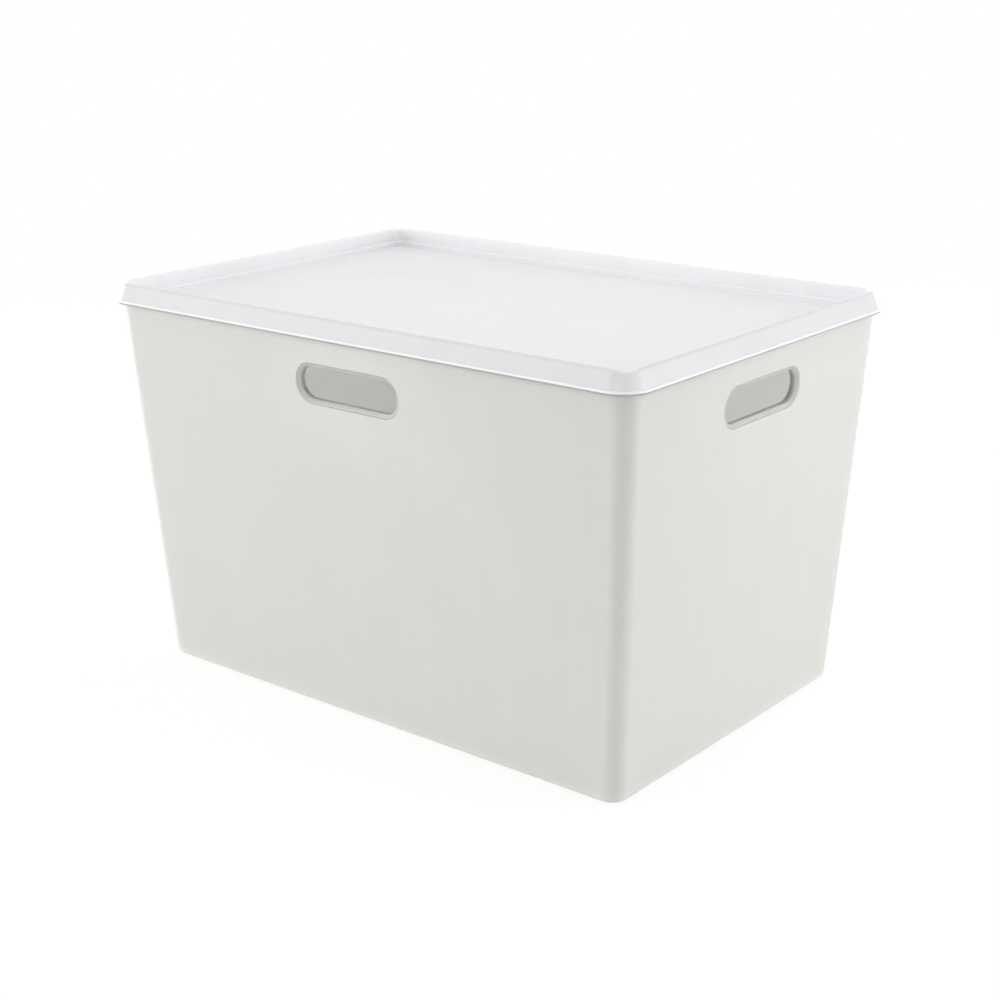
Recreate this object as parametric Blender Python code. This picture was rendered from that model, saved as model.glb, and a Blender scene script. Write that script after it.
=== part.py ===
"""Lidded storage box: a tapered moulded tub with a hand hole in each side, and a lid that lifts straight off.

Metres, +Z up, +X along the long side. The origin is the middle of the base.
Both pieces are skins of outlines. A profile lists them as pairs: how far an outline stands out from the tub's
outer wall, and its height. The tub's are rounded rectangles, and the lid's ridge dips at its corners.
"""

import math

import bmesh
import bpy
from mathutils import Matrix

# Tub, outside
BASE_LENGTH = 0.3534
BASE_WIDTH = 0.2294
RIM_LENGTH = 0.3812
RIM_WIDTH = 0.2576
TUB_HEIGHT = 0.2334
BASE_CORNER_RADIUS = 0.0105
RIM_CORNER_RADIUS = 0.0120
BASE_FILLET = 0.0030

# Tub, section
TUB_WALL = 0.0020
TUB_FLOOR = 0.0024
FLOOR_FILLET = 0.0030
BEAD_REACH = 0.00167
BEAD_HEIGHT = 0.0012
BEAD_ROUNDING = 0.0004

# Hand holes, measured across the clear opening and down from the rim
HOLE_LENGTH = 0.073
HOLE_HEIGHT = 0.0194
HOLE_CORNER_RADIUS = 0.0093
HOLE_EDGE_RADIUS = 0.0023
HOLE_DROP = 0.0300
COLLAR_WALL = 0.0018
COLLAR_DEPTH = 0.0050
COLLAR_ROUNDING = 0.0007

# Lid
LID_WALL = 0.0015
SEAT_GAP = 0.0003
SKIRT_CLEARANCE = 0.0005
PLUG_CLEARANCE = 0.0018
SKIRT_LEAN = math.radians(21)
SKIRT_DROP = 0.0022
LIP_RADIUS = 0.0013
LIP_PROUD = 0.00045
SHOULDER_RADIUS = 0.0024
SHOULDER_LEAD = 0.0015
RIDGE_RISE = 0.0068
RIDGE_RADIUS = 0.0008
RIDGE_DRAFT = math.radians(3)
RECESS_CORNER_RADIUS = 0.0065
PANEL_DROP = 0.0039
LEDGE_FILLET = 0.0008
LEDGE_ROUNDING = 0.0007
PANEL_FILLET = 0.0012

# Finish
TUB_COLOUR = (0.71, 0.70, 0.67)
TUB_ROUGHNESS = 0.45
LID_COLOUR = (0.84, 0.84, 0.86)
LID_ROUGHNESS = 0.35
SHARP_ANGLE = math.radians(35)

# How finely round shapes are cut
CORNER_SEGMENTS = 10
HOLE_CORNER_SEGMENTS = 8
ARC_SEGMENTS = 4

# How far a cutter runs past what it cuts
OVERRUN = 0.0010

QUARTER = math.radians(90)
CORNERS = ((1, 1), (-1, 1), (-1, -1), (1, -1))


def clear_scene():
    for found in list(bpy.data.objects):
        bpy.data.objects.remove(found, do_unlink=True)


def plastic(name, colour, roughness):
    material = bpy.data.materials.new(name)
    material.use_nodes = True
    shader = material.node_tree.nodes["Principled BSDF"]
    shader.inputs["Base Color"].default_value = (*colour, 1)
    shader.inputs["Roughness"].default_value = roughness
    shader.inputs["Metallic"].default_value = 0
    return material


def between(start, end, share):
    return start + (end - start) * share


def arc(centre, radius, start, end, segments=ARC_SEGMENTS):
    """Profile points along an arc about centre. Angles are measured up from the outward direction."""
    points = []
    for step in range(segments + 1):
        angle = between(start, end, step / segments)
        points.append((centre[0] + radius * math.cos(angle), centre[1] + radius * math.sin(angle)))
    return points


def rounded_rectangle(half_length, half_width, radius, height, segments):
    """Points round a level rounded rectangle, anticlockwise from above, from its +X side on."""
    points = []
    for turn, (side_x, side_y) in enumerate(CORNERS):
        centre_x = side_x * (half_length - radius)
        centre_y = side_y * (half_width - radius)
        for step in range(segments + 1):
            angle = QUARTER * (turn + step / segments)
            x = centre_x + radius * math.cos(angle)
            y = centre_y + radius * math.sin(angle)
            points.append((x, y, height))
    return points


def skin(name, rings):
    """An object whose surface runs from ring to ring, with the first and the last ring closed flat."""
    mesh = bpy.data.meshes.new(name)
    shape = bmesh.new()
    loops = [[shape.verts.new(point) for point in ring] for ring in rings]
    for lower, upper in zip(loops, loops[1:]):
        for here in range(len(lower)):
            after = (here + 1) % len(lower)
            shape.faces.new((lower[here], lower[after], upper[after], upper[here]))
    shape.faces.new(list(reversed(loops[0])))
    shape.faces.new(loops[-1])
    shape.to_mesh(mesh)
    shape.free()
    made = bpy.data.objects.new(name, mesh)
    bpy.context.scene.collection.objects.link(made)
    return made


def smooth(made, material):
    made.data.materials.append(material)
    made.data.shade_smooth()
    made.data.set_sharp_from_angle(angle=SHARP_ANGLE)


def helper(made):
    made.hide_render = True
    made.display_type = "WIRE"


def cut(target, tool, operation):
    modifier = target.modifiers.new(tool.name, "BOOLEAN")
    modifier.operation = operation
    modifier.solver = "EXACT"
    modifier.object = tool


def tub_ring(point):
    """The tub's outline at a profile point. The walls lean out, and their corners widen, from base to rim."""
    reach, height = point
    share = height / TUB_HEIGHT
    half_length = between(BASE_LENGTH, RIM_LENGTH, share) / 2 + reach
    half_width = between(BASE_WIDTH, RIM_WIDTH, share) / 2 + reach
    radius = between(BASE_CORNER_RADIUS, RIM_CORNER_RADIUS, share) + reach
    return rounded_rectangle(half_length, half_width, radius, height, CORNER_SEGMENTS)


def bead_level():
    """Height of the rim bead's widest line."""
    return TUB_HEIGHT - BEAD_HEIGHT


def bead_profile():
    """The rim's outer bead, from its root up to the rim's top. Its face leans as the lid's skirt does."""
    low_centre = (BEAD_REACH - BEAD_ROUNDING, bead_level())
    face_rise = BEAD_HEIGHT - BEAD_ROUNDING
    top_centre = (low_centre[0] - face_rise * math.tan(SKIRT_LEAN), TUB_HEIGHT - BEAD_ROUNDING)
    root = (0, low_centre[1] - 2 * BEAD_ROUNDING)
    return (
        [root]
        + arc(low_centre, BEAD_ROUNDING, -QUARTER, SKIRT_LEAN)
        + arc(top_centre, BEAD_ROUNDING, SKIRT_LEAN, QUARTER)
    )


def tub_profile():
    foot = arc((-BASE_FILLET, BASE_FILLET), BASE_FILLET, -QUARTER, 0)
    rim_centre = (BEAD_ROUNDING - TUB_WALL, TUB_HEIGHT - BEAD_ROUNDING)
    rim_inside = arc(rim_centre, BEAD_ROUNDING, QUARTER, 2 * QUARTER)
    floor_centre = (-TUB_WALL - FLOOR_FILLET, TUB_FLOOR + FLOOR_FILLET)
    floor_edge = arc(floor_centre, FLOOR_FILLET, 0, -QUARTER)
    return foot + bead_profile() + rim_inside + floor_edge


def hole_ring(growth, depth):
    """A hand hole's outline in its wall's frame, growth wider all round and depth inside the outer face."""
    return rounded_rectangle(
        HOLE_LENGTH / 2 + growth,
        HOLE_HEIGHT / 2 + growth,
        HOLE_CORNER_RADIUS + growth,
        -depth,
        HOLE_CORNER_SEGMENTS,
    )


def hole_collar(name):
    """The solid that a hand hole is cut from, from inside the wall to the collar's rounded inner end."""
    end = arc((COLLAR_WALL - COLLAR_ROUNDING, COLLAR_ROUNDING - COLLAR_DEPTH), COLLAR_ROUNDING, -QUARTER, 0)
    root = (COLLAR_WALL, -TUB_WALL / 2)
    return skin(name, [hole_ring(growth, -level) for growth, level in end + [root]])


def hole_cutter(name):
    """The clear opening with the wall's rounded outer edge round it."""
    inner = (0, -COLLAR_DEPTH - OVERRUN)
    centre = (HOLE_EDGE_RADIUS, -HOLE_EDGE_RADIUS)
    edge = arc(centre, HOLE_EDGE_RADIUS, 2 * QUARTER, QUARTER)
    before, last = edge[-2:]
    outer_share = OVERRUN / (last[1] - before[1])
    outer = (between(last[0], before[0], -outer_share), last[1] + OVERRUN)
    levels = [inner] + edge[:-1] + [outer]
    return skin(name, [hole_ring(growth, -level) for growth, level in levels])


def hole_place(turn):
    """Where a side's hand hole sits: local Z points out of the wall, local X along it and local Y up it."""
    base, rim = ((BASE_LENGTH, RIM_LENGTH), (BASE_WIDTH, RIM_WIDTH))[turn % 2]
    height = TUB_HEIGHT - HOLE_DROP
    reach = between(base, rim, height / TUB_HEIGHT) / 2
    lean = math.atan2((rim - base) / 2, TUB_HEIGHT)
    facing = Matrix.Rotation(QUARTER * turn, 4, "Z")
    place = Matrix.Translation((reach, 0, height))
    upright = Matrix.Rotation(QUARTER, 4, "Z") @ Matrix.Rotation(QUARTER, 4, "X")
    return facing @ place @ Matrix.Rotation(lean, 4, "Y") @ upright


def make_tub(material):
    tub = skin("tub", [tub_ring(point) for point in tub_profile()])
    smooth(tub, material)
    sides = ("right", "back", "left", "front")
    for make, operation, word in ((hole_collar, "UNION", "collar"), (hole_cutter, "DIFFERENCE", "cutter")):
        for turn, side in enumerate(sides):
            tool = make(f"{side}_hole_{word}")
            tool.matrix_world = hole_place(turn)
            helper(tool)
            cut(tub, tool, operation)
    return tub


def skirt_reach(height):
    """How far out the skirt's inner face is at a height. It clears the tub's bead and leans in upwards."""
    bead = bead_level() - TUB_HEIGHT - SEAT_GAP
    return BEAD_REACH + SKIRT_CLEARANCE - (height - bead) * math.tan(SKIRT_LEAN)


def skirt_outside(height):
    return skirt_reach(height) + LID_WALL / math.cos(SKIRT_LEAN)


def lid_underside():
    """From the panel's underside out over the tub's rim and down the inside of the skirt."""
    plug = -TUB_WALL - PLUG_CLEARANCE
    return [
        *arc((plug - LEDGE_ROUNDING, LEDGE_ROUNDING - PANEL_DROP), LEDGE_ROUNDING, -QUARTER, 0),
        (plug, 0),
        (skirt_reach(0), 0),
        (skirt_reach(-SKIRT_DROP), -SKIRT_DROP),
    ]


def lip_profile():
    """The rounded lip along the foot of the skirt, up to the crease where the skirt's face begins."""
    level = LIP_RADIUS - SKIRT_DROP
    centre = (skirt_outside(level) + LIP_PROUD - LIP_RADIUS, level)
    end = SKIRT_LEAN + math.acos((1 - LIP_PROUD / LIP_RADIUS) * math.cos(SKIRT_LEAN))
    return arc(centre, LIP_RADIUS, -QUARTER, end, 2 * ARC_SEGMENTS)


def shoulder_centre():
    """Centre of the arc by which the skirt's face rounds over to the top of the ridge."""
    level = LID_WALL + RIDGE_RISE - SHOULDER_RADIUS
    return skirt_outside(level) - SHOULDER_RADIUS / math.cos(SKIRT_LEAN), level


def corner_spread(reach, angle):
    """How much further out than along the sides the recess's wall is, at an angle round a corner.

    The recess's corners are tighter than the skirt's, so its wall comes nearer to the skirt there.
    """
    side = RIM_CORNER_RADIUS + reach
    middle = side - RECESS_CORNER_RADIUS
    nearer = min(angle, QUARTER - angle)
    if side * math.tan(nearer) < middle:
        return side / math.cos(nearer) - side
    along = middle * (math.cos(angle) + math.sin(angle))
    return along + math.sqrt(along**2 - 2 * middle**2 + RECESS_CORNER_RADIUS**2) - side


def ridge_place(angle):
    """The ridge's centre at an angle round a corner, and the angle where its arc leaves the skirt's face."""
    middle, level = shoulder_centre()
    spread = corner_spread(middle - RIDGE_RADIUS, angle)
    offset = SHOULDER_RADIUS - RIDGE_RADIUS
    beyond = spread - offset * math.cos(SKIRT_LEAN)
    if beyond > 0:
        height = level + offset * math.sin(SKIRT_LEAN) - beyond / math.tan(SKIRT_LEAN)
        return (middle + spread, height), SKIRT_LEAN
    start = math.acos(spread / offset)
    return (middle + spread, level + offset * math.sin(start)), start


def shoulder_profile(ridge_centre, ridge_start):
    """The last of the skirt's straight face and its rounding, up to where the ridge's arc starts."""
    middle, level = shoulder_centre()
    bend = min(
        level + SHOULDER_RADIUS * math.sin(SKIRT_LEAN), ridge_centre[1] + RIDGE_RADIUS * math.sin(SKIRT_LEAN)
    )
    straight = SHOULDER_LEAD / math.cos(SKIRT_LEAN)
    curved = SHOULDER_RADIUS * (ridge_start - SKIRT_LEAN)
    steps = 2 * ARC_SEGMENTS
    points = []
    for step in range(steps):
        past = (straight + curved) * step / steps - straight
        if past < 0:
            height = bend + past * math.cos(SKIRT_LEAN)
            points.append((skirt_outside(height), height))
        else:
            turned = SKIRT_LEAN + past / SHOULDER_RADIUS
            reach = middle + SHOULDER_RADIUS * math.cos(turned)
            points.append((reach, level + SHOULDER_RADIUS * math.sin(turned)))
    return points


def lid_topside(angle):
    """From the skirt's face over the ridge and down by the ledge to the sunk panel."""
    ledge = LID_WALL
    panel = ledge - PANEL_DROP
    ridge_centre, ridge_start = ridge_place(angle)
    ridge = arc(ridge_centre, RIDGE_RADIUS, ridge_start, 2 * QUARTER - RIDGE_DRAFT, 2 * ARC_SEGMENTS)
    inner_foot = ridge_centre[0] - RIDGE_RADIUS - (ridge_centre[1] - ledge) * math.tan(RIDGE_DRAFT)
    ledge_end = -TUB_WALL - PLUG_CLEARANCE - LID_WALL
    ledge_fillet = arc((inner_foot - LEDGE_FILLET, ledge + LEDGE_FILLET), LEDGE_FILLET, 0, -QUARTER)
    ledge_edge = arc(
        (ledge_end + LEDGE_ROUNDING, ledge - LEDGE_ROUNDING), LEDGE_ROUNDING, QUARTER, 2 * QUARTER
    )
    panel_fillet = arc((ledge_end - PANEL_FILLET, panel + PANEL_FILLET), PANEL_FILLET, 0, -QUARTER)
    return shoulder_profile(ridge_centre, ridge_start) + ridge + ledge_fillet + ledge_edge + panel_fillet


def lid_rings():
    """The lid's outlines. They follow the tub's rim, and heights are from the lid's seat."""
    angles = [QUARTER * step / CORNER_SEGMENTS for step in range(CORNER_SEGMENTS + 1)]
    sections = [lid_underside() + lip_profile() + lid_topside(angle) for angle in angles]
    rings = []
    for places in zip(*sections):
        ring = []
        for turn, (side_x, side_y) in enumerate(CORNERS):
            for angle, (reach, height) in zip(angles, places):
                radius = RIM_CORNER_RADIUS + reach
                x = side_x * (RIM_LENGTH / 2 - RIM_CORNER_RADIUS) + radius * math.cos(QUARTER * turn + angle)
                y = side_y * (RIM_WIDTH / 2 - RIM_CORNER_RADIUS) + radius * math.sin(QUARTER * turn + angle)
                ring.append((x, y, height))
        rings.append(ring)
    return rings


def make_lid(material):
    lid = skin("lid", lid_rings())
    smooth(lid, material)
    lid.location = (0, 0, TUB_HEIGHT + SEAT_GAP)
    return lid


clear_scene()
make_tub(plastic("tub_plastic", TUB_COLOUR, TUB_ROUGHNESS))
make_lid(plastic("lid_plastic", LID_COLOUR, LID_ROUGHNESS))
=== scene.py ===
"""Lidded storage box: the finished surfaces of its tub and lid, a plain studio and the camera.

Metres, +Z up, +X along the long side. Both pieces are skinned anew round their solids, with the same
sizes and finer curves. A profile lists outlines as pairs: how far each stands out from the tub's outer
wall, and its height. The tub's outlines are rounded rectangles. The lid's ridge dips at its corners.
"""

import functools
import math

import bmesh
import bpy
from mathutils import Matrix, Vector


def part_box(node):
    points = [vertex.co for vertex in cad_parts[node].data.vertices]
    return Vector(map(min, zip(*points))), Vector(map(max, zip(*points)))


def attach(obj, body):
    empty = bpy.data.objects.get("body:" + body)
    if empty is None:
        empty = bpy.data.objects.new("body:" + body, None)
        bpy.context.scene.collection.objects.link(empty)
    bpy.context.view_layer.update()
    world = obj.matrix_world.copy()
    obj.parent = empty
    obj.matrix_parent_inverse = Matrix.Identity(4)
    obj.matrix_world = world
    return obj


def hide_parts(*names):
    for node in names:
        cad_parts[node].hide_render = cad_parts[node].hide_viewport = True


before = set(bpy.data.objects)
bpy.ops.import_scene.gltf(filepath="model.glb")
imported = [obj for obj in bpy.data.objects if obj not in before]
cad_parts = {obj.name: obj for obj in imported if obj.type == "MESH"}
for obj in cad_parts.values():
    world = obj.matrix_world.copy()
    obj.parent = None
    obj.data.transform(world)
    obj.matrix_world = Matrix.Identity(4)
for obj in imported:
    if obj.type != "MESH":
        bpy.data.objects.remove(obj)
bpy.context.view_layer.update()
tub_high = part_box("tub")[1]
lid_low, lid_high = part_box("lid")

# Outlines, from the frame
LIP_REACH = 0.0040
RIM_HALF_LENGTH = lid_high.x - LIP_REACH
RIM_HALF_WIDTH = lid_high.y - LIP_REACH
TUB_HEIGHT = tub_high.z

# Tub
LENGTH_INSET = 0.0139
WIDTH_INSET = 0.0141
BASE_CORNER_RADIUS = 0.0105
RIM_CORNER_RADIUS = 0.0120
BASE_FILLET = 0.0030
TUB_WALL = 0.0020
TUB_FLOOR = 0.0024
FLOOR_FILLET = 0.0030
BEAD_REACH = 0.00167
BEAD_HEIGHT = 0.0012
BEAD_ROUNDING = 0.0004

# Hand holes
HOLE_LENGTH = 0.073
HOLE_HEIGHT = 0.0194
HOLE_CORNER_RADIUS = 0.0093
HOLE_EDGE_RADIUS = 0.0023
HOLE_DROP = 0.0300
COLLAR_WALL = 0.0018
COLLAR_DEPTH = 0.0050
COLLAR_ROUNDING = 0.0006
COLLAR_FILLET = 0.0008

# Lid
LID_WALL = 0.0015
PLUG_CLEARANCE = 0.0018
SKIRT_LEAN = math.radians(21)
SKIRT_DROP = 0.0022
LIP_RADIUS = 0.0013
LIP_PROUD = 0.00045
SHOULDER_RADIUS = 0.0024
SHOULDER_LEAD = 0.0015
RIDGE_RADIUS = 0.0008
RIDGE_DRAFT = math.radians(3)
RECESS_CORNER_RADIUS = 0.0065
PANEL_DROP = 0.0039
LEDGE_FILLET = 0.0008
LEDGE_ROUNDING = 0.0007
PANEL_FILLET = 0.0012
LID_SEAT = lid_low.z + SKIRT_DROP
RIDGE_RISE = lid_high.z - LID_SEAT - LID_WALL

# How finely round shapes are cut
CORNER_SEGMENTS = 48
HOLE_CORNER_SEGMENTS = 24
ARC_SEGMENTS = 10

QUARTER = math.radians(90)
CORNERS = ((1, 1), (-1, 1), (-1, -1), (1, -1))


def between(start, end, share):
    return start + (end - start) * share


def arc(centre, radius, start, end, segments=ARC_SEGMENTS):
    """Profile points along an arc about centre. Angles are measured up from the outward direction."""
    points = []
    for step in range(segments + 1):
        angle = between(start, end, step / segments)
        points.append((centre[0] + radius * math.cos(angle), centre[1] + radius * math.sin(angle)))
    return points


def rounded_rectangle(half_length, half_width, radius, height, segments):
    """Points round a level rounded rectangle, anticlockwise from above, from its +X side on."""
    points = []
    for turn, (side_x, side_y) in enumerate(CORNERS):
        centre_x = side_x * (half_length - radius)
        centre_y = side_y * (half_width - radius)
        for step in range(segments + 1):
            angle = QUARTER * (turn + step / segments)
            x = centre_x + radius * math.cos(angle)
            y = centre_y + radius * math.sin(angle)
            points.append(Vector((x, y, height)))
    return points


def loop(shape, points):
    return [shape.verts.new(point) for point in points]


def skin(shape, loops, open_places=()):
    """Faces from loop to loop, leaving out the strips that start at the open places."""
    for lower, upper in zip(loops, loops[1:]):
        for here in range(len(lower)):
            if here not in open_places:
                after = (here + 1) % len(lower)
                shape.faces.new((lower[here], lower[after], upper[after], upper[here]))


def add_piece(name, shape, material, body):
    """Adds the shape as a smooth piece that stands for the CAD node of its body's name."""
    mesh = bpy.data.meshes.new(name)
    shape.to_mesh(mesh)
    shape.free()
    mesh.materials.append(material)
    mesh.shade_smooth()
    piece = bpy.data.objects.new(name, mesh)
    bpy.context.scene.collection.objects.link(piece)
    piece.modifiers.new("wall normals", "WEIGHTED_NORMAL")
    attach(piece, body)
    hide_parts(body)


def tub_ring(point):
    """The tub's outline at a profile point. The walls lean out and their corners widen upwards."""
    reach, height = point
    inset = 1 - height / TUB_HEIGHT
    half_length = RIM_HALF_LENGTH - LENGTH_INSET * inset + reach
    half_width = RIM_HALF_WIDTH - WIDTH_INSET * inset + reach
    radius = between(RIM_CORNER_RADIUS, BASE_CORNER_RADIUS, inset) + reach
    return rounded_rectangle(half_length, half_width, radius, height, CORNER_SEGMENTS)


def bead_profile():
    """The rim's outer bead, from its root up to the rim's top. Its face leans as the skirt does."""
    low_centre = (BEAD_REACH - BEAD_ROUNDING, TUB_HEIGHT - BEAD_HEIGHT)
    face_rise = BEAD_HEIGHT - BEAD_ROUNDING
    top_centre = (low_centre[0] - face_rise * math.tan(SKIRT_LEAN), TUB_HEIGHT - BEAD_ROUNDING)
    root = (0, low_centre[1] - 2 * BEAD_ROUNDING)
    return (
        [root]
        + arc(low_centre, BEAD_ROUNDING, -QUARTER, SKIRT_LEAN)
        + arc(top_centre, BEAD_ROUNDING, SKIRT_LEAN, QUARTER)
    )


def hole_ring(growth, level):
    """A hand hole's outline in its wall's frame, grown all round and level out from the outer face."""
    return rounded_rectangle(
        HOLE_LENGTH / 2 + growth,
        HOLE_HEIGHT / 2 + growth,
        HOLE_CORNER_RADIUS + growth,
        level,
        HOLE_CORNER_SEGMENTS,
    )


def wall_lean(turn):
    return math.atan2((LENGTH_INSET, WIDTH_INSET)[turn % 2], TUB_HEIGHT)


def hole_place(turn):
    """Where a side's hand hole sits. Local Z points out of the wall, X along it and Y up it."""
    half_size = (RIM_HALF_LENGTH, RIM_HALF_WIDTH)[turn % 2]
    inset = (LENGTH_INSET, WIDTH_INSET)[turn % 2]
    facing = Matrix.Rotation(QUARTER * turn, 4, "Z")
    place = Matrix.Translation((half_size - inset * HOLE_DROP / TUB_HEIGHT, 0, TUB_HEIGHT - HOLE_DROP))
    upright = Matrix.Rotation(QUARTER, 4, "Z") @ Matrix.Rotation(QUARTER, 4, "X")
    return facing @ place @ Matrix.Rotation(wall_lean(turn), 4, "Y") @ upright


def hole_profile(wall):
    """A hand hole's section, from the rounded outer edge in by the collar to the wall's inside."""
    edge = arc((HOLE_EDGE_RADIUS, -HOLE_EDGE_RADIUS), HOLE_EDGE_RADIUS, QUARTER, 2 * QUARTER)
    end = COLLAR_ROUNDING - COLLAR_DEPTH
    inner_end = arc((COLLAR_ROUNDING, end), COLLAR_ROUNDING, 2 * QUARTER, 3 * QUARTER)
    outer_end = arc((COLLAR_WALL - COLLAR_ROUNDING, end), COLLAR_ROUNDING, -QUARTER, 0)
    root_centre = (COLLAR_WALL + COLLAR_FILLET, -wall - COLLAR_FILLET)
    root = arc(root_centre, COLLAR_FILLET, 2 * QUARTER, QUARTER)
    return edge + inner_end + outer_end + root


def wall_round_hole(shape, corners, hole, facing_out):
    """Closes a flat wall round a hole. Both run anticlockwise, seen from outside."""
    low_left, low_right, top_right, top_left = corners
    count = len(hole)
    quarter = count // 4
    middles = [quarter * turn + quarter // 2 for turn in range(4)]
    spans = (
        (low_right, top_right, 3),
        (top_right, top_left, 0),
        (top_left, low_left, 1),
        (low_left, low_right, 2),
    )
    for first, second, turn in spans:
        start = middles[turn]
        end = middles[(turn + 1) % 4] + (count if turn == 3 else 0)
        edge = [hole[place % count] for place in range(end, start - 1, -1)]
        face = [first, second] + edge
        shape.faces.new(face if facing_out else face[::-1])


def wall_corners(loops, turn):
    """A flat wall's corners from bottom left, seen from outside, of the lower and the upper loop."""
    lower, upper = loops
    count = len(lower)
    left = (count // 4 * turn - 1) % count
    right = left + 1 - (count if left + 1 == count else 0)
    return lower[left], lower[right], upper[right], upper[left]


def make_tub(material):
    foot = arc((-BASE_FILLET, BASE_FILLET), BASE_FILLET, -QUARTER, 0)
    rim_centre = (BEAD_ROUNDING - TUB_WALL, TUB_HEIGHT - BEAD_ROUNDING)
    rim_inside = arc(rim_centre, BEAD_ROUNDING, QUARTER, 2 * QUARTER)
    floor_centre = (-TUB_WALL - FLOOR_FILLET, TUB_FLOOR + FLOOR_FILLET)
    floor_edge = arc(floor_centre, FLOOR_FILLET, 0, -QUARTER)

    shape = bmesh.new()
    foot_loops = [loop(shape, tub_ring(point)) for point in foot]
    rim_loops = [loop(shape, tub_ring(point)) for point in bead_profile() + rim_inside]
    floor_loops = [loop(shape, tub_ring(point)) for point in floor_edge]
    wall_places = [(CORNER_SEGMENTS + 1) * turn - 1 for turn in range(1, 5)]
    outer_wall = (foot_loops[-1], rim_loops[0])
    inner_wall = (rim_loops[-1], floor_loops[0])
    for loops in (foot_loops, rim_loops, floor_loops):
        skin(shape, loops)
    for loops in (outer_wall, inner_wall):
        skin(shape, loops, wall_places)
    shape.faces.new(foot_loops[0][::-1])
    shape.faces.new(floor_loops[-1])

    for turn in range(4):
        place = hole_place(turn)
        profile = hole_profile(TUB_WALL * math.cos(wall_lean(turn)))
        hole_loops = [loop(shape, [place @ point for point in hole_ring(*pair)]) for pair in profile]
        skin(shape, hole_loops[::-1])
        wall_round_hole(shape, wall_corners(outer_wall, turn), hole_loops[0], True)
        wall_round_hole(shape, wall_corners(inner_wall[::-1], turn), hole_loops[-1], False)
    add_piece("tub_shell", shape, material, "tub")


def skirt_outside(height):
    """How far out the skirt's face is at a height. It meets the lip and leans in upwards."""
    lip = LIP_RADIUS - SKIRT_DROP
    return LIP_REACH - LIP_PROUD - (height - lip) * math.tan(SKIRT_LEAN)


def skirt_inside(height):
    return skirt_outside(height) - LID_WALL / math.cos(SKIRT_LEAN)


def lid_underside():
    """From the panel's underside out over the tub's rim and down the inside of the skirt."""
    plug = -TUB_WALL - PLUG_CLEARANCE
    return [
        *arc((plug - LEDGE_ROUNDING, LEDGE_ROUNDING - PANEL_DROP), LEDGE_ROUNDING, -QUARTER, 0),
        (plug, 0),
        (skirt_inside(0), 0),
        (skirt_inside(-SKIRT_DROP), -SKIRT_DROP),
    ]


def lip_profile():
    """The rounded lip along the foot of the skirt, up to the crease where the skirt's face begins."""
    level = LIP_RADIUS - SKIRT_DROP
    centre = (LIP_REACH - LIP_RADIUS, level)
    end = SKIRT_LEAN + math.acos((1 - LIP_PROUD / LIP_RADIUS) * math.cos(SKIRT_LEAN))
    return arc(centre, LIP_RADIUS, -QUARTER, end, 2 * ARC_SEGMENTS)


def shoulder_centre():
    """Centre of the arc by which the skirt's face rounds over to the top of the ridge."""
    level = LID_WALL + RIDGE_RISE - SHOULDER_RADIUS
    return skirt_outside(level) - SHOULDER_RADIUS / math.cos(SKIRT_LEAN), level


def corner_spread(reach, angle):
    """How much further out than along the sides the recess's wall is, at an angle round a corner.

    The recess's corners are tighter than the skirt's, so its wall comes nearer to the skirt there.
    """
    side = RIM_CORNER_RADIUS + reach
    middle = side - RECESS_CORNER_RADIUS
    nearer = min(angle, QUARTER - angle)
    if side * math.tan(nearer) < middle:
        return side / math.cos(nearer) - side
    along = middle * (math.cos(angle) + math.sin(angle))
    return along + math.sqrt(along**2 - 2 * middle**2 + RECESS_CORNER_RADIUS**2) - side


def ridge_place(angle):
    """The ridge's centre at an angle round a corner, and the angle where its arc starts."""
    middle, level = shoulder_centre()
    spread = corner_spread(middle - RIDGE_RADIUS, angle)
    offset = SHOULDER_RADIUS - RIDGE_RADIUS
    beyond = spread - offset * math.cos(SKIRT_LEAN)
    if beyond > 0:
        height = level + offset * math.sin(SKIRT_LEAN) - beyond / math.tan(SKIRT_LEAN)
        return (middle + spread, height), SKIRT_LEAN
    start = math.acos(spread / offset)
    return (middle + spread, level + offset * math.sin(start)), start


def shoulder_profile(ridge_centre, ridge_start):
    """The last of the skirt's straight face and its rounding, up to where the ridge's arc starts."""
    middle, level = shoulder_centre()
    shoulder_bend = level + SHOULDER_RADIUS * math.sin(SKIRT_LEAN)
    ridge_bend = ridge_centre[1] + RIDGE_RADIUS * math.sin(SKIRT_LEAN)
    bend = min(shoulder_bend, ridge_bend)
    straight = SHOULDER_LEAD / math.cos(SKIRT_LEAN)
    curved = SHOULDER_RADIUS * (ridge_start - SKIRT_LEAN)
    steps = 2 * ARC_SEGMENTS
    points = []
    for step in range(steps):
        past = (straight + curved) * step / steps - straight
        if past < 0:
            height = bend + past * math.cos(SKIRT_LEAN)
            points.append((skirt_outside(height), height))
        else:
            turned = SKIRT_LEAN + past / SHOULDER_RADIUS
            reach = middle + SHOULDER_RADIUS * math.cos(turned)
            points.append((reach, level + SHOULDER_RADIUS * math.sin(turned)))
    return points


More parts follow.
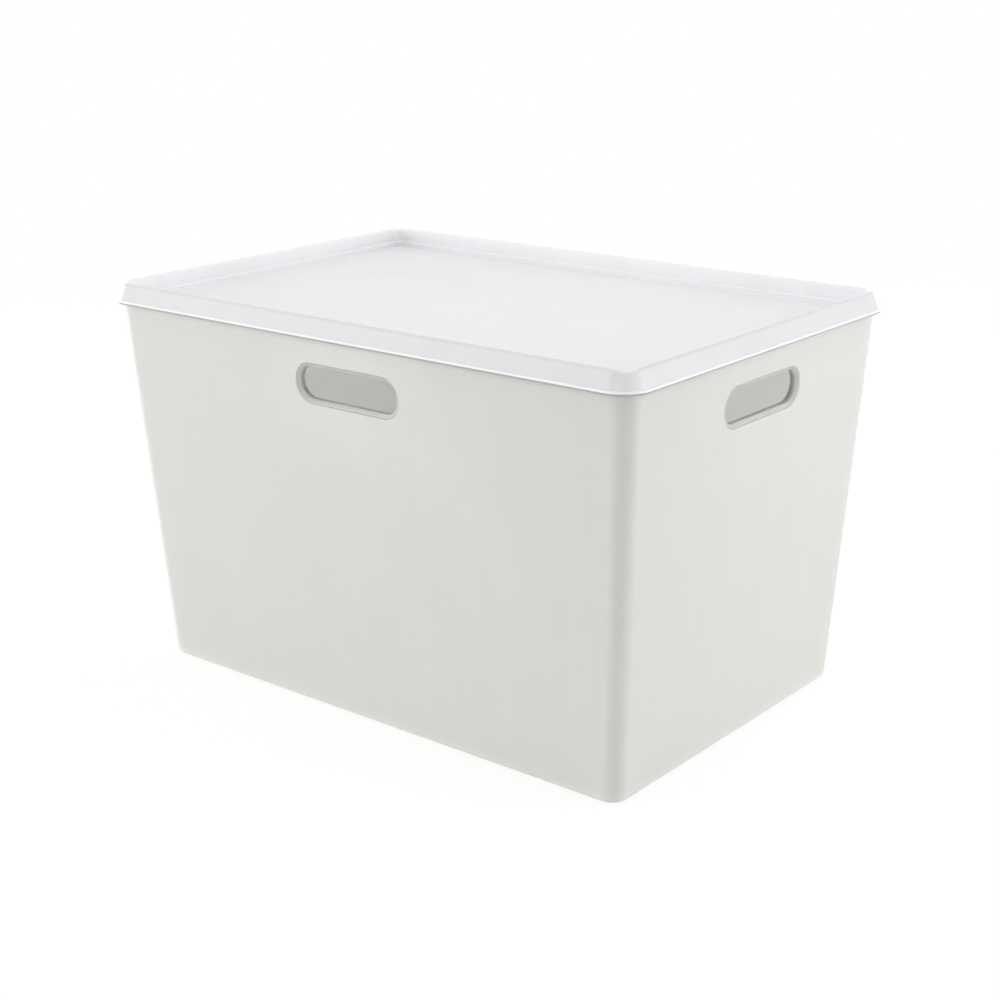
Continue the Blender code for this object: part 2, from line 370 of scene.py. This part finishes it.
def lid_topside(angle):
    """From the skirt's face over the ridge and down by the ledge to the sunk panel."""
    ledge = LID_WALL
    panel = ledge - PANEL_DROP
    ridge_centre, ridge_start = ridge_place(angle)
    ridge = arc(ridge_centre, RIDGE_RADIUS, ridge_start, 2 * QUARTER - RIDGE_DRAFT, 2 * ARC_SEGMENTS)
    inner_foot = ridge_centre[0] - RIDGE_RADIUS - (ridge_centre[1] - ledge) * math.tan(RIDGE_DRAFT)
    ledge_end = -TUB_WALL - PLUG_CLEARANCE - LID_WALL
    ledge_fillet = arc((inner_foot - LEDGE_FILLET, ledge + LEDGE_FILLET), LEDGE_FILLET, 0, -QUARTER)
    edge_centre = (ledge_end + LEDGE_ROUNDING, ledge - LEDGE_ROUNDING)
    ledge_edge = arc(edge_centre, LEDGE_ROUNDING, QUARTER, 2 * QUARTER)
    panel_fillet = arc((ledge_end - PANEL_FILLET, panel + PANEL_FILLET), PANEL_FILLET, 0, -QUARTER)
    shoulder = shoulder_profile(ridge_centre, ridge_start)
    return shoulder + ridge + ledge_fillet + ledge_edge + panel_fillet


def lid_rings():
    """The lid's outlines. They follow the tub's rim, and profile heights are from the lid's seat."""
    angles = [QUARTER * step / CORNER_SEGMENTS for step in range(CORNER_SEGMENTS + 1)]
    sections = [lid_underside() + lip_profile() + lid_topside(angle) for angle in angles]
    rings = []
    for places in zip(*sections):
        ring = []
        for turn, (side_x, side_y) in enumerate(CORNERS):
            centre_x = side_x * (RIM_HALF_LENGTH - RIM_CORNER_RADIUS)
            centre_y = side_y * (RIM_HALF_WIDTH - RIM_CORNER_RADIUS)
            for angle, (reach, height) in zip(angles, places):
                radius = RIM_CORNER_RADIUS + reach
                turned = QUARTER * turn + angle
                x = centre_x + radius * math.cos(turned)
                y = centre_y + radius * math.sin(turned)
                ring.append(Vector((x, y, LID_SEAT + height)))
        rings.append(ring)
    return rings


def make_lid(material):
    shape = bmesh.new()
    loops = [loop(shape, ring) for ring in lid_rings()]
    skin(shape, loops)
    shape.faces.new(loops[0][::-1])
    shape.faces.new(loops[-1])
    add_piece("lid_shell", shape, material, "lid")


# Plastic. Colours are linear, painted shades multiply them, and scales are in marks per metre.
SCATTER_RADIUS = (1.0, 1.0, 1.0)
TUB_COLOUR = (0.820, 0.806, 0.746)
TUB_TRANSLUCENCY = 0.90
TUB_SCATTER_DEPTH = 0.0105
TUB_ROUGHNESS = (0.40, 0.50)
# Painted shade on the hand holes' rounded edges
HOLE_EDGE_PAINTED_SHADE = 0.64
HOLE_EDGE_MARGIN = HOLE_EDGE_RADIUS / 8
HOLE_EDGE_FADE = HOLE_EDGE_RADIUS / 6
LID_COLOUR = (0.800, 0.802, 0.816)
LID_TRANSLUCENCY = 0.35
LID_SCATTER_DEPTH = 0.003
LID_PANEL_ROUGHNESS = (0.38, 0.46)
LID_RIM_ROUGHNESS = (0.36, 0.44)
LID_RECESS_SHADE = 1.0
# Painted light at the recess's inside corners
LID_RECESS_CORNER_PAINTED_LIGHT = 1.07
# Painted shade on the lid's skirt, less at its corners
LID_SKIRT_PAINTED_SHADE = 0.785
LID_SKIRT_CORNER_PAINTED_SHADE = 0.90
# Painted highlight on the lid's lip
LID_LIP_PAINTED_HIGHLIGHT = 0.97
LID_LIP_FADE = LIP_RADIUS / 8
# Painted shadow along the foot of the lid's lip
LID_FOOT_PAINTED_SHADOW = 0.46
LID_FOOT_HEIGHT = 0.0011
LID_FOOT_FADE = LIP_RADIUS / 4
CLOUD_SCALE = 16
CLOUD_SHARE = 0.012
STREAK_SCALE = (90, 90, 5)
STREAK_SHARE = 0.006
PATCH_SCALE = 55
GRAIN_SCALE = 1700
GRAIN_DETAIL = 1.0
GRAIN_HEIGHT = 0.000012
PEEL_SCALE = 210
PEEL_HEIGHT = 0.000030
NOISE_DETAIL = 2.0
NOISE_RANGE = (0.3, 0.7)


class Nodes:
    """The nodes of a material or a world. What goes into a node is a value or another node's output."""

    def __init__(self, owner):
        owner.use_nodes = True
        self.tree = owner.node_tree

    @functools.cached_property
    def place(self):
        """Where on the piece a point is, in metres."""
        return self.add("ShaderNodeTexCoord", {}, "Object")

    def fill(self, node, inputs):
        for name, value in inputs.items():
            if isinstance(value, bpy.types.NodeSocket):
                self.tree.links.new(value, node.inputs[name])
            else:
                node.inputs[name].default_value = value

    def add(self, kind, inputs, output, **settings):
        """Adds a node and gives one of its outputs."""
        node = self.tree.nodes.new(kind)
        for name, setting in settings.items():
            setattr(node, name, setting)
        self.fill(node, inputs)
        return node.outputs[output]

    def noise(self, scale, detail=NOISE_DETAIL, place=None):
        inputs = {"Vector": place or self.place, "Scale": scale, "Detail": detail}
        return self.add("ShaderNodeTexNoise", inputs, "Fac")

    def spread(self, value, low, high, start=NOISE_RANGE[0], end=NOISE_RANGE[1], **settings):
        """Turns a value between start and end into one between low and high."""
        inputs = {"Value": value, "From Min": start, "From Max": end, "To Min": low, "To Max": high}
        return self.add("ShaderNodeMapRange", inputs, "Result", **settings)

    def number(self, operation, first, second):
        return self.add("ShaderNodeMath", {0: first, 1: second}, "Value", operation=operation)

    def vector(self, operation, *values):
        output = "Value" if operation == "LENGTH" else "Vector"
        return self.add("ShaderNodeVectorMath", dict(enumerate(values)), output, operation=operation)

    def parts(self, vector):
        """The X, Y and Z of a vector."""
        node = self.tree.nodes.new("ShaderNodeSeparateXYZ")
        self.fill(node, {0: vector})
        return tuple(node.outputs)

    def past(self, place, half_sizes):
        """How far a place is past a box's half sizes along each axis, and 0 within them."""
        beyond = self.vector("SUBTRACT", self.vector("ABSOLUTE", place), half_sizes)
        return self.vector("MAXIMUM", beyond, (0, 0, 0))

    def bump(self, height, depth, normal=None):
        inputs = {"Height": height, "Distance": depth}
        if normal:
            inputs["Normal"] = normal
        return self.add("ShaderNodeBump", inputs, "Normal")

    def seen(self):
        """1 for rays from the camera and for what gloss and clear things show, and else 0."""
        path = self.tree.nodes.new("ShaderNodeLightPath").outputs
        plain_or_gloss = self.number("MAXIMUM", path["Is Camera Ray"], path["Is Glossy Ray"])
        return self.number("MAXIMUM", plain_or_gloss, path["Is Transmission Ray"])

    def mixed(self, share, first, second):
        """The first shader where the share is 0, and the second where it is 1."""
        return self.add("ShaderNodeMixShader", {0: share, 1: first, 2: second}, "Shader")


def plastic(nodes, colour, shade, roughness, translucency, depth):
    """Faint clouding and flow streaks, patches that differ in gloss, orange peel and mould grain."""
    clouds = nodes.spread(nodes.noise(CLOUD_SCALE), 1 - CLOUD_SHARE, 1 + CLOUD_SHARE)
    stretched = nodes.add("ShaderNodeMapping", {"Vector": nodes.place, "Scale": STREAK_SCALE}, "Vector")
    streaks = nodes.spread(nodes.noise(1, place=stretched), 1 - STREAK_SHARE, 1 + STREAK_SHARE)
    marks = nodes.number("MULTIPLY", clouds, streaks)
    tone = {0: colour, "Scale": nodes.number("MULTIPLY", marks, shade)}
    peel = nodes.bump(nodes.noise(PEEL_SCALE), PEEL_HEIGHT)
    inputs = {
        "Base Color": nodes.add("ShaderNodeVectorMath", tone, "Vector", operation="SCALE"),
        "Roughness": nodes.spread(nodes.noise(PATCH_SCALE), *roughness),
        "Normal": nodes.bump(nodes.noise(GRAIN_SCALE, GRAIN_DETAIL), GRAIN_HEIGHT, peel),
        "Subsurface Weight": translucency,
        "Subsurface Radius": SCATTER_RADIUS,
        "Subsurface Scale": depth,
    }
    nodes.fill(nodes.tree.nodes["Principled BSDF"], inputs)


def hole_edge_painted_shade(nodes):
    """Painted shade, darker on the holes' rounded edges, and 1 elsewhere."""
    x, y, height = nodes.parts(nodes.vector("ABSOLUTE", nodes.place))
    # The smaller of the two is how far a point is from the middle of its wall.
    from_middle = nodes.number("MINIMUM", x, y)
    on_wall = nodes.add("ShaderNodeCombineXYZ", {"X": from_middle, "Y": height}, "Vector")
    from_hole = nodes.vector("SUBTRACT", on_wall, (0, TUB_HEIGHT - HOLE_DROP, 0))
    straight = (HOLE_LENGTH / 2 - HOLE_CORNER_RADIUS, HOLE_HEIGHT / 2 - HOLE_CORNER_RADIUS, 0)
    reach = nodes.vector("LENGTH", nodes.past(from_hole, straight))
    inner = HOLE_CORNER_RADIUS + HOLE_EDGE_MARGIN
    outer = HOLE_CORNER_RADIUS + HOLE_EDGE_RADIUS
    edge = nodes.spread(reach, HOLE_EDGE_PAINTED_SHADE, 1, outer - HOLE_EDGE_FADE, outer)
    return nodes.spread(reach, 1, edge, inner, inner + HOLE_EDGE_FADE)


def tub_plastic():
    material = bpy.data.materials.new("tub plastic")
    nodes = Nodes(material)
    # Painted shade on the hand holes' rounded edges
    shade = hole_edge_painted_shade(nodes)
    plastic(nodes, TUB_COLOUR, shade, TUB_ROUGHNESS, TUB_TRANSLUCENCY, TUB_SCATTER_DEPTH)
    return material


def corner_painted_shade(nodes, cornering, along_sides, at_corners, radius):
    """One painted shade along the sides and another at the corners. Cornering is a product of two
    distances.
    """
    return nodes.spread(cornering, along_sides, at_corners, 0, (radius / 2) ** 2)


def rim_painted_shade(nodes, cornering):
    """The rim's outside: a painted highlight on the lip, a painted shadow at its foot, and painted
    shade on the skirt, less at its corners.
    """
    shades = (LID_SKIRT_PAINTED_SHADE, LID_SKIRT_CORNER_PAINTED_SHADE)
    # Painted shade on the skirt, less at its corners
    skirt = corner_painted_shade(nodes, cornering, *shades, RIM_CORNER_RADIUS)
    height = nodes.parts(nodes.place)[2]
    foot = LID_SEAT - SKIRT_DROP + LID_FOOT_HEIGHT
    crease = LID_SEAT + lip_profile()[-1][1]
    # Painted shadow along the lip's foot, under a painted highlight on the lip
    lip = nodes.spread(height, LID_FOOT_PAINTED_SHADOW, LID_LIP_PAINTED_HIGHLIGHT, foot, foot + LID_FOOT_FADE)
    return nodes.spread(height, lip, skirt, crease - LID_LIP_FADE, crease)


def lid_plastic():
    """Satin inside the ridge, and a little smoother on the rim outside it. Painted light brightens the
    recess's corners, and the rim has painted shade, highlight and shadow.
    """
    material = bpy.data.materials.new("lid plastic")
    nodes = Nodes(material)
    ridge = shoulder_centre()[0]
    corner = RECESS_CORNER_RADIUS + RIDGE_RADIUS
    straight = (RIM_HALF_LENGTH + ridge - corner, RIM_HALF_WIDTH + ridge - corner, 1)
    beyond = nodes.past(nodes.vector("MULTIPLY", nodes.place, (1, 1, 0)), straight)
    beyond_x, beyond_y, _ = nodes.parts(beyond)
    cornering = nodes.number("MULTIPLY", beyond_x, beyond_y)
    # Painted light at the recess's inside corners
    shades = (LID_RECESS_SHADE, LID_RECESS_CORNER_PAINTED_LIGHT)
    recess = corner_painted_shade(nodes, cornering, *shades, RECESS_CORNER_RADIUS)
    reach = nodes.vector("LENGTH", beyond)
    on_rim = (corner - RIDGE_RADIUS, corner + RIDGE_RADIUS)
    shade = nodes.spread(reach, recess, rim_painted_shade(nodes, cornering), *on_rim)
    roughness = []
    for on_panel, outside in zip(LID_PANEL_ROUGHNESS, LID_RIM_ROUGHNESS):
        roughness.append(nodes.spread(reach, on_panel, outside, *on_rim))
    plastic(nodes, LID_COLOUR, shade, roughness, LID_TRANSLUCENCY, LID_SCATTER_DEPTH)
    return material


# Camera
CAMERA_AIM = Vector((0.0054, -0.0001, 0.1090))
CAMERA_DISTANCE = 1.1061
CAMERA_AZIMUTH = math.radians(39.12)
CAMERA_ELEVATION = math.radians(17.82)
CAMERA_ROLL = math.radians(-0.41)
SENSOR_MM = 36
LENS_MM = 64.54


def direction(azimuth, elevation):
    """From the box towards a place in the studio. Azimuth 0 is before the long side, 90 the +X side."""
    level = math.cos(elevation)
    return Vector((math.sin(azimuth) * level, -math.cos(azimuth) * level, math.sin(elevation)))


def make_camera():
    data = bpy.data.cameras.new("camera")
    data.sensor_width = SENSOR_MM
    data.lens = LENS_MM
    camera = bpy.data.objects.new("camera", data)
    back = direction(CAMERA_AZIMUTH, CAMERA_ELEVATION)
    facing = back.to_track_quat("Z", "Y").to_matrix() @ Matrix.Rotation(CAMERA_ROLL, 3, "Z")
    camera.matrix_world = Matrix.Translation(CAMERA_AIM + back * CAMERA_DISTANCE) @ facing.to_4x4()
    bpy.context.scene.collection.objects.link(camera)
    bpy.context.scene.camera = camera


# Studio. Each lamp has its azimuth and elevation in degrees, its distance, its size and its watts.
LAMPS = {
    "left lamp": (-33, 10, 2.4, 1.5, 28.0),
    "right lamp": (118, 12, 1.6, 1.0, 12.0),
    "back long side lamp": (180, 4, 1.6, 0.45, 8.5),
    "back short side lamp": (270, 4, 1.6, 0.45, 7.0),
    "top lamp": (0, 89, 1.5, 1.5, 6.7),
}
LIGHT_COLOUR = (1.0, 1.0, 1.0)
STUDIO_AIM = Vector((0, 0, 0.12))
WORLD_STRENGTH = 0.63
FLOOR_SIZE = 8.0
FLOOR_GREY = 0.85
FLOOR_GLOW = 0.8
GLOW_START = 0.5
GLOW_END = 1.4
WHITE = (1, 1, 1, 1)


def make_lamp(name, azimuth, elevation, distance, size, power):
    data = bpy.data.lights.new(name, "AREA")
    data.shape = "SQUARE"
    data.size = size
    data.energy = power
    data.color = LIGHT_COLOUR
    lamp = bpy.data.objects.new(name, data)
    towards = direction(math.radians(azimuth), math.radians(elevation))
    facing = towards.to_track_quat("Z", "Y").to_matrix().to_4x4()
    lamp.matrix_world = Matrix.Translation(STUDIO_AIM + towards * distance) @ facing
    bpy.context.scene.collection.objects.link(lamp)


def floor_material():
    """Pale grey as the object's light meets it. It is seen as white, with the object's soft shadow."""
    material = bpy.data.materials.new("floor")
    nodes = Nodes(material)
    grey = nodes.tree.nodes["Principled BSDF"]
    grey_colour = (FLOOR_GREY, FLOOR_GREY, FLOOR_GREY, 1)
    nodes.fill(grey, {"Base Color": grey_colour, "Roughness": 1, "Specular IOR Level": 0})
    shaded = nodes.add("ShaderNodeBsdfDiffuse", {"Color": WHITE}, "BSDF")
    glow = nodes.add("ShaderNodeEmission", {"Color": WHITE, "Strength": 1}, "Emission")
    far = nodes.vector("LENGTH", nodes.place)
    fade = nodes.spread(far, FLOOR_GLOW, 1, GLOW_START, GLOW_END, interpolation_type="SMOOTHSTEP")
    surface = nodes.mixed(nodes.seen(), grey.outputs["BSDF"], nodes.mixed(fade, shaded, glow))
    nodes.fill(nodes.tree.nodes["Material Output"], {"Surface": surface})
    return material


def make_floor():
    shape = bmesh.new()
    bmesh.ops.create_grid(shape, x_segments=1, y_segments=1, size=FLOOR_SIZE / 2)
    mesh = bpy.data.meshes.new("floor")
    shape.to_mesh(mesh)
    shape.free()
    mesh.materials.append(floor_material())
    floor = bpy.data.objects.new("floor", mesh)
    bpy.context.scene.collection.objects.link(floor)


def make_world():
    """Dim light from all round, from a world that is seen as white."""
    world = bpy.data.worlds.new("studio")
    nodes = Nodes(world)
    dim = nodes.tree.nodes["Background"]
    nodes.fill(dim, {"Color": WHITE, "Strength": WORLD_STRENGTH})
    white = nodes.add("ShaderNodeBackground", {"Color": WHITE, "Strength": 1}, "Background")
    surface = nodes.mixed(nodes.seen(), dim.outputs["Background"], white)
    nodes.fill(nodes.tree.nodes["World Output"], {"Surface": surface})
    bpy.context.scene.world = world


make_camera()
make_tub(tub_plastic())
make_lid(lid_plastic())
make_floor()
make_world()
for lamp_name, lamp_spec in LAMPS.items():
    make_lamp(lamp_name, *lamp_spec)

bpy.context.scene.view_settings.view_transform = "Standard"
